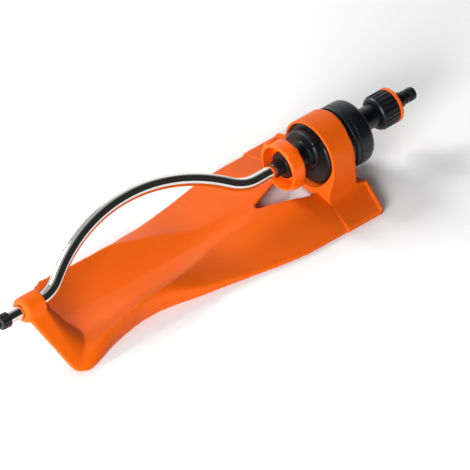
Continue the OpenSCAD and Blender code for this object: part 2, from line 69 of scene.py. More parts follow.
LOG = logging.getLogger("sprinkler")
MM = 0.001
FOOT_X = -240.0      # the boss's outer tip, in mm along X
AXIS_Z = 47.0        # height of the swing axis
MOTOR_Z = 42.6       # height of the motor's centre line
SLED_LEN = 412.0     # length of the sled on its centre line
BRIDGE_LEG = 36.5    # where the motor end starts to be cut back, from the centre line
CORNER_CUT = 14.0    # how far it is cut back at its corners


def at(u: float) -> float:
    """Return the place along X, in mm, of a point u mm from the boss's outer tip."""
    return FOOT_X + u


def smooth_step(edge0: float, edge1: float, value: np.ndarray) -> np.ndarray:
    """Ease from 0 to 1 between two values.

    Args:
        edge0: Value where the result leaves 0.
        edge1: Value where the result reaches 1.
        value: Numbers to ease.

    Returns:
        The eased numbers.
    """
    t = np.clip((value - edge0) / (edge1 - edge0), 0.0, 1.0)
    return t * t * (3.0 - 2.0 * t)


# ---------------------------------------------------------------- colours and nodes

PER_METRE = 1000.0      # a pattern's scale is its repeats in a metre
NOISE_LOW = 0.3         # where the broad noise starts to turn to the second shade
NOISE_HIGH = 0.7
GRAIN_HEIGHT = 0.0001   # height of the fine grain at full strength, in metres
PLASTIC_IOR = 1.5


def linear(hex_colour: str) -> tuple[float, float, float, float]:
    """Turn an sRGB hex colour into linear RGBA.

    Args:
        hex_colour: Six hex digits.

    Returns:
        The linear colour with alpha 1.
    """
    parts = [int(hex_colour[i : i + 2], 16) / 255.0 for i in (0, 2, 4)]
    rgb = [p / 12.92 if p <= 0.04045 else ((p + 0.055) / 1.055) ** 2.4 for p in parts]
    return (rgb[0], rgb[1], rgb[2], 1.0)


def add_node(
    tree: bpy.types.NodeTree, kind: str, values: dict | None = None, **settings: object
) -> bpy.types.Node:
    """Add a node, give it its settings and fill or link its inputs.

    Args:
        tree: Tree that gets the node.
        kind: The node's type name.
        values: Input name or number, with a value or an output socket to link.
        settings: Properties of the node.

    Returns:
        The new node.
    """
    node = tree.nodes.new(kind)
    for name, value in settings.items():
        setattr(node, name, value)
    for key, value in (values or {}).items():
        socket = node.inputs[key]
        if isinstance(value, bpy.types.NodeSocket):
            tree.links.new(value, socket)
        else:
            socket.default_value = value
    return node


@dataclass(frozen=True)
class Finish:
    """What every finish shares: its colours, its gloss and its fine surface.

    tint_mm is the size of the soft patches of shade and gloss, and grain_mm that of the fine
    grain, drawn coarser than a mould's own so that it shows.
    """

    name: str
    colour: str
    shade: str
    roughness: float
    rough_spread: float
    tint_mm: float
    grain_mm: float
    grain_depth: float
    metallic: float = 0.0
    specular: float = 0.5

    def build(self) -> bpy.types.Material:
        """Build the material: tinted colour, uneven gloss and a fine grain in the bump.

        Returns:
            The finished material.
        """
        material = bpy.data.materials.new(self.name)
        material.use_nodes = True
        tree = material.node_tree
        tree.nodes.clear()
        place = add_node(tree, "ShaderNodeTexCoord").outputs["Object"]
        broad = add_node(
            tree,
            "ShaderNodeTexNoise",
            {"Vector": place, "Scale": PER_METRE / self.tint_mm, "Detail": 3.0},
        )
        tint = add_node(tree, "ShaderNodeValToRGB", {"Fac": broad.outputs["Fac"]})
        tint.color_ramp.elements[0].position = NOISE_LOW
        tint.color_ramp.elements[0].color = linear(self.shade)
        tint.color_ramp.elements[1].position = NOISE_HIGH
        tint.color_ramp.elements[1].color = linear(self.colour)
        gloss = add_node(
            tree,
            "ShaderNodeMapRange",
            {
                "Value": broad.outputs["Fac"],
                "From Min": NOISE_LOW,
                "From Max": NOISE_HIGH,
                "To Min": self.roughness - self.rough_spread,
                "To Max": self.roughness + self.rough_spread,
            },
        )
        fine = add_node(
            tree,
            "ShaderNodeTexNoise",
            {"Vector": place, "Scale": PER_METRE / self.grain_mm, "Detail": 2.0},
        )
        bump = add_node(
            tree,
            "ShaderNodeBump",
            {"Height": fine.outputs["Fac"], "Strength": self.grain_depth, "Distance": GRAIN_HEIGHT},
        )
        shader = add_node(
            tree,
            "ShaderNodeBsdfPrincipled",
            {
                "Base Color": tint.outputs["Color"],
                "Roughness": gloss.outputs["Result"],
                "Metallic": self.metallic,
                "Normal": bump.outputs["Normal"],
            },
        )
        if self.metallic < 0.5:
            shader.inputs["IOR"].default_value = PLASTIC_IOR
            shader.inputs["Specular IOR Level"].default_value = self.specular
        add_node(tree, "ShaderNodeOutputMaterial", {"Surface": shader.outputs["BSDF"]})
        return material


# Polypropylene from a finely eroded mould: even orange with a soft, wide sheen.
ORANGE_MOULDING = Finish(
    "moulded orange polypropylene", "E25E0C", "DC5A0A", 0.46, 0.04, 60, 0.9, 0.12, specular=0.16
)
# Acetal from a polished mould: brighter, with a tighter highlight.
ORANGE_ACETAL = Finish("glossy orange acetal", "F8660F", "F05F0B", 0.30, 0.03, 20, 0.7, 0.06, specular=0.3)
# Glass-filled nylon: near black with a cool cast and a satin gloss that shows every rounded edge.
BLACK_NYLON = Finish("satin black nylon", "121618", "0D1012", 0.34, 0.05, 25, 0.7, 0.16, specular=0.4)
# Nitrile rubber: dull black.
NITRILE = Finish("nitrile rubber", "141414", "0F0F0F", 0.62, 0.05, 8, 0.6, 0.3)
# Natural acetal, as turned out of a gear mould: milky white.
NATURAL_ACETAL = Finish("natural acetal", "EDE9DD", "E3DECF", 0.36, 0.04, 12, 0.5, 0.1)
# Drawn stainless wire and screws: grey metal with fine draw marks.
DRAWN_STEEL = Finish("drawn stainless steel", "C4C3BE", "B2B1AC", 0.28, 0.05, 6, 0.3, 0.25, metallic=1.0)


@dataclass(frozen=True)
class PolishedChrome(Finish):
    """Chrome plate over a drawn tube: a mirror with faint drawing lines along its length."""

    def build(self) -> bpy.types.Material:
        """Build the mirror finish from the shared one and stretch its grain along the tube.

        Returns:
            The finished material.
        """
        material = super().build()
        tree = material.node_tree
        place = next(n for n in tree.nodes if n.bl_idname == "ShaderNodeTexCoord").outputs["Object"]
        stretched = add_node(tree, "ShaderNodeMapping", {"Vector": place, "Scale": (0.05, 1.0, 1.0)})
        for node in tree.nodes:
            if node.bl_idname == "ShaderNodeTexNoise":
                tree.links.new(stretched.outputs["Vector"], node.inputs["Vector"])
        return material


CHROME = PolishedChrome(
    "polished chrome plate", "E6E5E1", "DDDCD7", 0.06, 0.02, 14, 0.8, 0.03, metallic=1.0
)


# ---------------------------------------------------------------- mesh helpers


def new_piece(name: str, mesh: bpy.types.Mesh) -> bpy.types.Object:
    """Put a mesh into the scene as an object at the origin.

    Args:
        name: The piece's name.
        mesh: Its mesh, already in place.

    Returns:
        The new object.
    """
    piece = bpy.data.objects.new(name, mesh)
    bpy.context.scene.collection.objects.link(piece)
    return piece


def mesh_from(name: str, points: Sequence, faces: Sequence) -> bpy.types.Mesh:
    """Make a mesh from points in mm, merge its doubles and turn its faces outwards.

    Args:
        name: The mesh's name.
        points: Corners in mm.
        faces: Corner numbers of each face.

    Returns:
        The mesh, in metres.
    """
    mesh = bpy.data.meshes.new(name)
    mesh.from_pydata([tuple(float(c) * MM for c in p) for p in points], [], [tuple(f) for f in faces])
    work = bmesh.new()
    work.from_mesh(mesh)
    bmesh.ops.remove_doubles(work, verts=work.verts, dist=1e-6)
    bmesh.ops.recalc_face_normals(work, faces=work.faces)
    work.to_mesh(mesh)
    work.free()
    return mesh


def smooth_all(piece: bpy.types.Object) -> None:
    """Shade every face of a piece smooth."""
    piece.data.polygons.foreach_set("use_smooth", [True] * len(piece.data.polygons))


def shade(piece: bpy.types.Object, angle: float = 35.0) -> None:
    """Shade a piece smooth, with edges above the angle, in degrees, kept sharp."""
    smooth_all(piece)
    piece.data.set_sharp_from_angle(angle=math.radians(angle))


def settle(piece: bpy.types.Object) -> None:
    """Turn a piece's modifiers into plain mesh.

    Args:
        piece: The piece, whose modifiers are removed.
    """
    graph = bpy.context.evaluated_depsgraph_get()
    mesh = bpy.data.meshes.new_from_object(piece.evaluated_get(graph))
    piece.modifiers.clear()
    piece.data = mesh


def rounded(corners: Sequence[Corner], steps: int = 4) -> list[tuple[float, float]]:
    """Round the corners of a profile.

    Args:
        corners: Place along the axis, radius from it and rounding, of each corner, in mm.
        steps: Segments in each rounded corner.

    Returns:
        The profile's points.
    """
    out: list[tuple[float, float]] = []
    for i, (x, r, fillet) in enumerate(corners):
        here = np.array([x, r])
        if fillet <= 0.0 or i in (0, len(corners) - 1):
            out.append((x, r))
            continue
        before = np.array(corners[i - 1][:2]) - here
        after = np.array(corners[i + 1][:2]) - here
        cut = min(fillet, 0.45 * np.linalg.norm(before), 0.45 * np.linalg.norm(after))
        start = here + before / np.linalg.norm(before) * cut
        end = here + after / np.linalg.norm(after) * cut
        for k in range(steps + 1):
            t = k / steps
            point = (1 - t) ** 2 * start + 2 * t * (1 - t) * here + t * t * end
            out.append((float(point[0]), float(point[1])))
    return out


def turned(
    name: str,
    corners: Sequence[Corner],
    z: float = AXIS_Z,
    sides: int = 96,
) -> bpy.types.Object:
    """Make a turned piece about an axis along X.

    Args:
        name: The piece's name.
        corners: Distance from the boss's tip, radius and rounding of each corner of the profile,
            which is closed onto its first corner if an end stands off the axis.
        z: Height of the axis in mm.
        sides: Segments round the axis.

    Returns:
        The piece.
    """
    profile = [(at(u), r) for u, r in rounded(corners)]
    closed = profile[0][1] > 1e-6 or profile[-1][1] > 1e-6
    count = len(profile)
    points = [
        (x, r * math.sin(2 * math.pi * k / sides), z + r * math.cos(2 * math.pi * k / sides))
        for x, r in profile
        for k in range(sides)
    ]
    faces = []
    for i in range(count if closed else count - 1):
        a, b = i * sides, (i + 1) % count * sides
        for k in range(sides):
            n = (k + 1) % sides
            faces.append((a + k, a + n, b + n, b + k))
    mesh = mesh_from(name, points, faces)
    work = bmesh.new()
    work.from_mesh(mesh)
    bmesh.ops.dissolve_degenerate(work, dist=1e-7, edges=work.edges)
    bmesh.ops.recalc_face_normals(work, faces=work.faces)
    work.to_mesh(mesh)
    work.free()
    piece = new_piece(name, mesh)
    shade(piece)
    return piece


def prism(
    name: str, outline: Sequence[tuple[float, float]], low: float, high: float, axis: str
) -> bpy.types.Object:
    """Make a straight prism from an outline.

    Args:
        name: The piece's name.
        outline: Corners in mm, Y and Z along axis "X", or X and Y along axis "Z".
        low: Where the prism starts, in mm.
        high: Where it ends, in mm.
        axis: "X" or "Z".

    Returns:
        The prism.
    """
    n = len(outline)
    if axis == "X":
        points = [(h, a, b) for h in (low, high) for a, b in outline]
    else:
        points = [(a, b, h) for h in (low, high) for a, b in outline]
    faces = [(i, (i + 1) % n, n + (i + 1) % n, n + i) for i in range(n)]
    faces += [tuple(range(n)), tuple(range(2 * n - 1, n - 1, -1))]
    return new_piece(name, mesh_from(name, points, faces))


def carve(piece: bpy.types.Object, tool: bpy.types.Object) -> None:
    """Cut a piece with a tool and discard the tool.

    Args:
        piece: The piece, which may be several solids that run into each other.
        tool: The solid that is taken away.
    """
    cut = piece.modifiers.new("carve", "BOOLEAN")
    cut.operation = "DIFFERENCE"
    cut.object = tool
    cut.solver = "EXACT"
    cut.use_self = True
    settle(piece)
    bpy.data.objects.remove(tool)


def relax_mesh(piece: bpy.types.Object, passes: int) -> None:
    """Even out a piece's mesh and shade it smooth.

    Args:
        piece: The piece.
        passes: Smoothing passes.
    """
    relax = piece.modifiers.new("relax", "SMOOTH")
    relax.factor = 0.5
    relax.iterations = passes
    settle(piece)
    smooth_all(piece)


def round_edges(piece: bpy.types.Object, width: float, segments: int, angle: float) -> None:
    """Round a piece's sharp edges.

    Args:
        piece: The piece.
        width: Width of the rounding, in mm.
        segments: Segments across it.
        angle: Edges that turn by more than this, in degrees, are rounded.
    """
    edge = piece.modifiers.new("edge", "BEVEL")
    edge.width = width * MM
    edge.segments = segments
    edge.limit_method = "ANGLE"
    edge.angle_limit = math.radians(angle)
    settle(piece)


def soften(piece: bpy.types.Object, voxel: float, passes: int) -> None:
    """Fuse a piece's solids and round its edges as a mould's fillets do.

    Args:
        piece: The piece.
        voxel: Size of the even mesh, in mm.
        passes: Smoothing passes.
    """
    remesh = piece.modifiers.new("fuse", "REMESH")
    remesh.mode = "VOXEL"
    remesh.voxel_size = voxel * MM
    remesh.adaptivity = 0.0
    relax_mesh(piece, passes)


# ---------------------------------------------------------------- geometry nodes


class RibShape(Enum):
    """Section of a grip rib."""

    ROUND = "round"
    BLOCK = "block"


def tree_with(name: str, sockets: Iterable[tuple[str, str]]) -> tuple[bpy.types.NodeTree, bpy.types.Node]:
    """Start a geometry tree with named inputs.

    Args:
        name: The tree's name.
        sockets: Name and socket type of each input.

    Returns:
        The tree and its input node.
    """
    tree = bpy.data.node_groups.new(name, "GeometryNodeTree")
    tree.interface.new_socket("Geometry", in_out="INPUT", socket_type="NodeSocketGeometry")
    for label, kind in sockets:
        tree.interface.new_socket(label, in_out="INPUT", socket_type=kind)
    tree.interface.new_socket("Geometry", in_out="OUTPUT", socket_type="NodeSocketGeometry")
    return tree, add_node(tree, "NodeGroupInput")


def close_tree(
    tree: bpy.types.NodeTree, geometry: bpy.types.NodeSocket, material: bpy.types.NodeSocket
) -> None:
    """End a tree with Realize Instances and Set Material.

    Args:
        tree: The tree.
        geometry: What it has made so far.
        material: The finish that it puts on.
    """
    real = add_node(tree, "GeometryNodeRealizeInstances", {"Geometry": geometry})
    dressed = add_node(tree, "GeometryNodeSetMaterial", {"Geometry": real.outputs[0], "Material": material})
    add_node(tree, "NodeGroupOutput", {"Geometry": dressed.outputs[0]})


def run_tree(
    name: str, mesh: bpy.types.Mesh, tree: bpy.types.NodeTree, values: dict[str, object]
) -> bpy.types.Object:
    """Run a geometry tree on a mesh and keep the result as a plain piece.

    Args:
        name: The piece's name.
        mesh: What the tree starts from.
        tree: The tree.
        values: Input name and value.

    Returns:
        The piece.
    """
    piece = new_piece(name, mesh)
    modifier = piece.modifiers.new(tree.name, "NODES")
    modifier.node_group = tree
    for item in tree.interface.items_tree:
        if item.item_type == "SOCKET" and item.in_out == "INPUT" and item.name in values:
            modifier[item.identifier] = values[item.name]
    settle(piece)
    return piece


def rib_tree(shape: RibShape) -> bpy.types.NodeTree:
    """Build the tree that stands ribs round an axis along X.

    Args:
        shape: Section of the ribs.

    Returns:
        The tree.
    """
    tree, given = tree_with(
        f"ribs {shape.value}",
        [
            ("Count", "NodeSocketInt"),
            ("Radius", "NodeSocketFloat"),
            ("Centre", "NodeSocketVector"),
            ("Size", "NodeSocketVector"),
            ("Turn", "NodeSocketFloat"),
            ("Material", "NodeSocketMaterial"),
        ],
    )
    source = given.outputs
    index = add_node(tree, "GeometryNodeInputIndex").outputs[0]
    pitch = add_node(
        tree, "ShaderNodeMath", {0: math.tau, 1: source["Count"]}, operation="DIVIDE"
    ).outputs[0]
    angle = add_node(
        tree, "ShaderNodeMath", {0: index, 1: pitch, 2: source["Turn"]}, operation="MULTIPLY_ADD"
    ).outputs[0]
    sine = add_node(tree, "ShaderNodeMath", {0: angle}, operation="SINE").outputs[0]
    cosine = add_node(tree, "ShaderNodeMath", {0: angle}, operation="COSINE").outputs[0]
    back = add_node(tree, "ShaderNodeMath", {0: sine, 1: -1.0}, operation="MULTIPLY").outputs[0]
    out = add_node(tree, "ShaderNodeCombineXYZ", {"Y": back, "Z": cosine}).outputs[0]
    reach = add_node(
        tree, "ShaderNodeVectorMath", {0: out, "Scale": source["Radius"]}, operation="SCALE"
    ).outputs[0]
    place = add_node(
        tree, "ShaderNodeVectorMath", {0: reach, 1: source["Centre"]}, operation="ADD"
    ).outputs[0]
    points = add_node(
        tree, "GeometryNodePoints", {"Count": source["Count"], "Position": place}
    ).outputs[0]
    if shape is RibShape.ROUND:
        rod = add_node(
            tree, "GeometryNodeMeshCylinder", {"Vertices": 14, "Radius": 0.5, "Depth": 1.0}
        ).outputs["Mesh"]
        stock = add_node(
            tree, "GeometryNodeTransform", {"Geometry": rod, "Rotation": (0.0, math.pi / 2, 0.0)}
        ).outputs[0]
    else:
        stock = add_node(tree, "GeometryNodeMeshCube", {"Size": (1.0, 1.0, 1.0)}).outputs["Mesh"]
    turn = add_node(tree, "ShaderNodeCombineXYZ", {"X": angle}).outputs[0]
    ribs = add_node(
        tree,
        "GeometryNodeInstanceOnPoints",
        {"Points": points, "Instance": stock, "Rotation": turn, "Scale": source["Size"]},
    )
    close_tree(tree, ribs.outputs[0], source["Material"])
    return tree


def ribs_round(
    name: str,
    shape: RibShape,
    count: int,
    radius: float,
    centre: tuple[float, float],
    size: tuple[float, float, float],
    turn: float,
    material: bpy.types.Material,
    bevel: float,
) -> bpy.types.Object:
    """Make evenly spaced ribs round an axis and round their edges.

    Args:
        name: The piece's name.
        shape: Section of the ribs.
        count: How many.
        radius: Distance of their middles from the axis, in mm.
        centre: Distance of their middles from the boss's tip, and height of the axis, in mm.
        size: Length, width and height of a rib, in mm.
        turn: Turn of the first rib from upright, in degrees.
        material: Their finish.
        bevel: Rounding of the edges, in mm.

    Returns:
        The piece.
    """
    piece = run_tree(
        name,
        bpy.data.meshes.new(name),
        rib_tree(shape),
        {
            "Count": count,
            "Radius": radius * MM,
            "Centre": (at(centre[0]) * MM, 0.0, centre[1] * MM),
            "Size": tuple(s * MM for s in size),
            "Turn": math.radians(turn),
            "Material": material,
        },
    )
    round_edges(piece, bevel, 2, 50)
    shade(piece)
    return piece


def sweep_tree() -> bpy.types.NodeTree:
    """Build the tree that sweeps a round section along a path.

    Returns:
        The tree.
    """
    tree, given = tree_with(
        "bent tube",
        [("Radius", "NodeSocketFloat"), ("Sides", "NodeSocketInt"), ("Material", "NodeSocketMaterial")],
    )
    source = given.outputs
    path = add_node(tree, "GeometryNodeMeshToCurve", {"Mesh": source["Geometry"]}).outputs[0]
    ring = add_node(
        tree,
        "GeometryNodeCurvePrimitiveCircle",
        {"Resolution": source["Sides"], "Radius": source["Radius"]},
    )
    tube = add_node(
        tree,
        "GeometryNodeCurveToMesh",
        {"Curve": path, "Profile Curve": ring.outputs[0], "Fill Caps": True},
    )
    close_tree(tree, tube.outputs[0], source["Material"])
    return tree


def jet_tree() -> bpy.types.NodeTree:
    """Build the tree that sets a flat dark disc on each point, aimed along the point's own direction:
    painted shade that stands in for the dark inside of a drilled jet.

    Returns:
        The tree.
    """
    tree, given = tree_with(
        "jets",
        [("Radius", "NodeSocketFloat"), ("Height", "NodeSocketFloat"), ("Material", "NodeSocketMaterial")],
    )
    source = given.outputs
    points = add_node(tree, "GeometryNodeMeshToPoints", {"Mesh": source["Geometry"]}).outputs[0]
    aim = add_node(tree, "GeometryNodeInputNamedAttribute", {"Name": "aim"}, data_type="FLOAT_VECTOR")
    turn = add_node(tree, "FunctionNodeAlignRotationToVector", {"Vector": aim.outputs[0]}, axis="Z")
    disc = add_node(
        tree,
        "GeometryNodeMeshCylinder",
        {"Vertices": 16, "Radius": source["Radius"], "Depth": source["Height"]},
    ).outputs["Mesh"]
    jets = add_node(
        tree,
        "GeometryNodeInstanceOnPoints",
        {"Points": points, "Instance": disc, "Rotation": turn.outputs[0]},
    )
    close_tree(tree, jets.outputs[0], source["Material"])
    return tree


# ---------------------------------------------------------------- the orange mouldings


@dataclass
class Sled:
    """The ground sled with its boss: a thin moulded shell, waisted in the middle and cut on the slant.

    The five lists give, at distances from the boss's tip, the half width, the height of the outer
    edge, the height of the valley, and the ridge's distance from the centre line and its height.
    """

    wall: float = 2.8
    foot_half: float = 67.0
    end_half: float = 75.5
    boss_radius: float = 13.0
    boss_length: float = 24.5
    bore: float = 6.9
    rib_width: float = 2.6
    rib_places: tuple[int, ...] = (90, 200, 300, 381)
    widths: Stations = (
        (0, 67), (30, 67), (42, 64.5), (58, 59), (75, 53.5), (95, 49), (120, 45.5), (148, 47), (180, 54),
        (207, 58.5), (240, 65), (290, 74), (320, 76), (401, 75.5),
    )
    wall_tops: Stations = (
        (0, 3), (25, 3), (75, 13), (95, 17), (120, 21), (148, 19), (195, 10), (230, 6.6), (255, 5),
        (352, 5), (401, 4),
    )
    valleys: Stations = (
        (0, 15), (40, 13), (70, 9), (110, 6.5), (180, 6), (230, 7.5), (290, 13), (340, 14), (401, 9),
    )
    ridges: Stations = (
        (0, 61), (30, 57), (75, 50), (95, 46.5), (120, 43), (148, 40.5), (180, 32), (207, 24), (235, 14),
        (280, 11), (401, 11),
    )
    ridge_tops: Stations = (
        (0, 6), (30, 9), (50, 14), (75, 17.5), (95, 20), (120, 23), (148, 23.2), (180, 19), (207, 15),
        (235, 11.5), (290, 13.4), (340, 14.2), (401, 9),
    )

    @staticmethod
    def curve(stations: Stations, u: np.ndarray) -> np.ndarray:
        """Read a smooth curve through stations.

        Args:
            stations: Distance from the boss's tip and the value there.
            u: Distances to read at.

        Returns:
            The values.
        """
        xs = np.array([s[0] for s in stations], float)
        ys = np.array([s[1] for s in stations], float)
        slope = np.empty_like(ys)
        slope[1:-1] = (ys[2:] - ys[:-2]) / (xs[2:] - xs[:-2])
        slope[0] = (ys[1] - ys[0]) / (xs[1] - xs[0])
        slope[-1] = (ys[-1] - ys[-2]) / (xs[-1] - xs[-2])
        i = np.clip(np.searchsorted(xs, u) - 1, 0, len(xs) - 2)
        span = xs[i + 1] - xs[i]
        t = np.clip((u - xs[i]) / span, 0, 1)
        return (
            ys[i] * (1 + 2 * t) * (1 - t) ** 2
            + ys[i + 1] * t * t * (3 - 2 * t)
            + span * (slope[i] * t * (1 - t) ** 2 - slope[i + 1] * t * t * (1 - t))
        )

    @staticmethod
    def start(t: np.ndarray, back: bool) -> np.ndarray:
        """Find where the sled starts.

        Args:
            t: Shares of the half width.
            back: Whether this is the side away from the front.

        Returns:
            Distances from the boss's tip.
        """
        if back:
            return 1 + 72 * t**1.15
        return 1 + 17 * t**1.2 + 10 * np.clip((t - 0.9) / 0.1, 0, 1) ** 2

    @staticmethod
    def stop(y: np.ndarray) -> np.ndarray:
        """Return where the motor end stands, cut back towards its corners."""
        return np.interp(np.abs(y), [BRIDGE_LEG, Sled.end_half], [SLED_LEN, SLED_LEN - CORNER_CUT])

    def height(self, u: np.ndarray, y: np.ndarray, back: bool) -> np.ndarray:
        """Work out the height of the skin: valley, ridge and outer edge, with the gable at the boss.

        Args:
            u: Distances from the boss's tip.
            y: Distances from the centre line.
            back: Whether this is the side away from the front.

        Returns:
            The heights in mm.
        """
        half = self.curve(self.widths, u)
        ridge = self.curve(self.ridges, u)
        top = self.curve(self.ridge_tops, u)
        low = self.curve(self.valleys, u)
        edge = self.curve(self.wall_tops, u)
        inner = low + (top - low) * (np.clip(y / ridge, 0, 1) ** 1.3)
        q = np.clip((y - ridge) / np.maximum(half - 2.4 - ridge, 0.5), 0, 1)
        z = np.where(y < ridge, inner, top + (edge - top) * q**1.35)
        t = np.clip(y / self.foot_half, 0, 1)
        start = np.maximum(24.0 + (0.0 if back else 1.0) * t, self.start(t, back) + 4)
        end = start + 34 + 36 * t
        share = (end - u) / (end - start)
        fade = smooth_step(0.0, 1.0, share) * 0.5 + np.clip(share, 0, 1) * 0.5
        gable = (AXIS_Z + 6) * (1 - t) * fade
        return np.maximum(z, gable)

    def shell(self) -> bpy.types.Object:
        """Loft the skin and its underside into one closed shell.

        Returns:
            The shell.
        """
        rows, cols = 150, 45
        shares = np.concatenate([np.linspace(0, 0.97, cols - 4), [0.98, 0.99, 0.996, 1.0]])
        top, low = [], []
        for i in range(rows):
            s = i / (rows - 1)
            top_row, low_row = [], []
            for side in (-1, 1):
                back = side > 0
                start = self.start(shares, back)
                stop = self.stop(shares * self.end_half)
                u = start + (stop - start) * s**1.15
                half = self.curve(self.widths, u)
                y = shares * half
                z = self.height(u, y, back)
                drop = np.interp(half - y, [0, 0.5, 1.2, 2.4], [0.0, 0.75, 0.93, 1.0])
                z = z * drop
                inner_u = np.minimum(u, stop - self.wall)
                outer = [(at(a), side * b, max(0.0, c)) for a, b, c in zip(u, y, z)]
                thick = self.wall + 2.2 * np.clip((z - 22) / 20, 0, 1)
                under = [
                    (at(a), side * b * (1 - self.wall / h), max(0.0, c - d))
                    for a, b, c, h, d in zip(inner_u, y, z, half, thick)
                ]
                if side < 0:
                    top_row += outer[::-1]
                    low_row += under[::-1]
                else:
                    top_row += outer[1:]
                    low_row += under[1:]
            top.append(top_row)
            low.append(low_row)
        points = [p for row in top + low for p in row]
        return new_piece("sled", mesh_from("sled", points, self.shell_faces(rows, len(top[0]))))

    @staticmethod
    def shell_faces(rows: int, width: int) -> list[tuple[int, ...]]:
        """Number the faces of a closed shell: a skin, its underside and the strip between them.

        Args:
            rows: Rows of points in the skin, and as many again in the underside.
            width: Points in a row.

        Returns:
            Corner numbers of each face.
        """
        n = rows * width
        faces = []
        for i in range(rows - 1):
            for j in range(width - 1):
                a = i * width + j
                faces.append((a, a + 1, a + width + 1, a + width))
                faces.append((n + a, n + a + width, n + a + width + 1, n + a + 1))
        for j in range(width - 1):
            faces.append((j, n + j, n + j + 1, j + 1))
            a = (rows - 1) * width + j
            faces.append((a, a + 1, n + a + 1, n + a))
        for i in range(rows - 1):
            a = i * width
            faces.append((a, a + width, n + a + width, n + a))
            a += width - 1
            faces.append((a, n + a, n + a + width, a + width))
        return faces

    def rib(self, u: float) -> bpy.types.Object:
        """Stand a rib across the underside that follows the skin.

        Args:
            u: Its distance from the boss's tip, in mm.

        Returns:
            The rib.
        """
        half = float(self.curve(self.widths, np.array([float(u)]))[0]) - 3.5
        y = np.linspace(0, half, 24)
        z = np.maximum(self.height(np.full_like(y, u), y, True) - 1.6, 1.0)
        side = list(zip(y.tolist(), z.tolist()))
        top = [(-b, c) for b, c in reversed(side[1:])] + side
        return prism("rib", [(half, 0), (-half, 0)] + top, at(u), at(u + self.rib_width), "X")

    def build(self) -> bpy.types.Object:
        """Build the sled: shell, boss, bore and teardrop opening, fused and rounded.

        Returns:
            The finished sled.
        """
        sled = self.shell()
        boss = turned(
            "boss",
            [
                (0, 0, 0), (0, self.boss_radius, 5.0),
                (self.boss_length, self.boss_radius, 0.8), (self.boss_length, 0, 0),
            ],
        )
        for u in self.rib_places:
            self.join(sled, self.rib(u))
        self.join(sled, boss)
        carve(sled, prism("opening", self.teardrop(), -5, 40, "Z"))
        bore = turned(
            "bore",
            [(-3, 0, 0), (-3, self.bore, 0), (30, self.bore, 0), (30, 0, 0)],
            sides=64,
        )
        carve(sled, bore)
        soften(sled, 1.25, 9)
        return sled

    @staticmethod
    def join(piece: bpy.types.Object, extra: bpy.types.Object) -> None:
        """Add another solid's mesh to a piece, to be fused later.

        Args:
            piece: The piece.
            extra: The solid, whose object is removed.
        """
        work = bmesh.new()
        work.from_mesh(piece.data)
        work.from_mesh(extra.data)
        work.to_mesh(piece.data)
        work.free()
        bpy.data.objects.remove(extra)

    @staticmethod
    def teardrop() -> list[tuple[float, float]]:
        """Draw the outline of the teardrop opening under the control ring.

        Returns:
            Corners in mm, in X and Y.
        """
        centre, radius = at(356.5), 20.0
        tip, tip_radius = at(305.5), 3.5
        touch = math.acos((radius - tip_radius) / (centre - tip))
        wide = [math.pi - touch - (2 * math.pi - 2 * touch) * k / 48 for k in range(49)]
        narrow = [math.pi + touch - 2 * touch * k / 12 for k in range(13)]
        edge = [(centre + radius * math.cos(a), radius * math.sin(a)) for a in wide]
        return edge + [(tip + tip_radius * math.cos(a), tip_radius * math.sin(a)) for a in narrow]


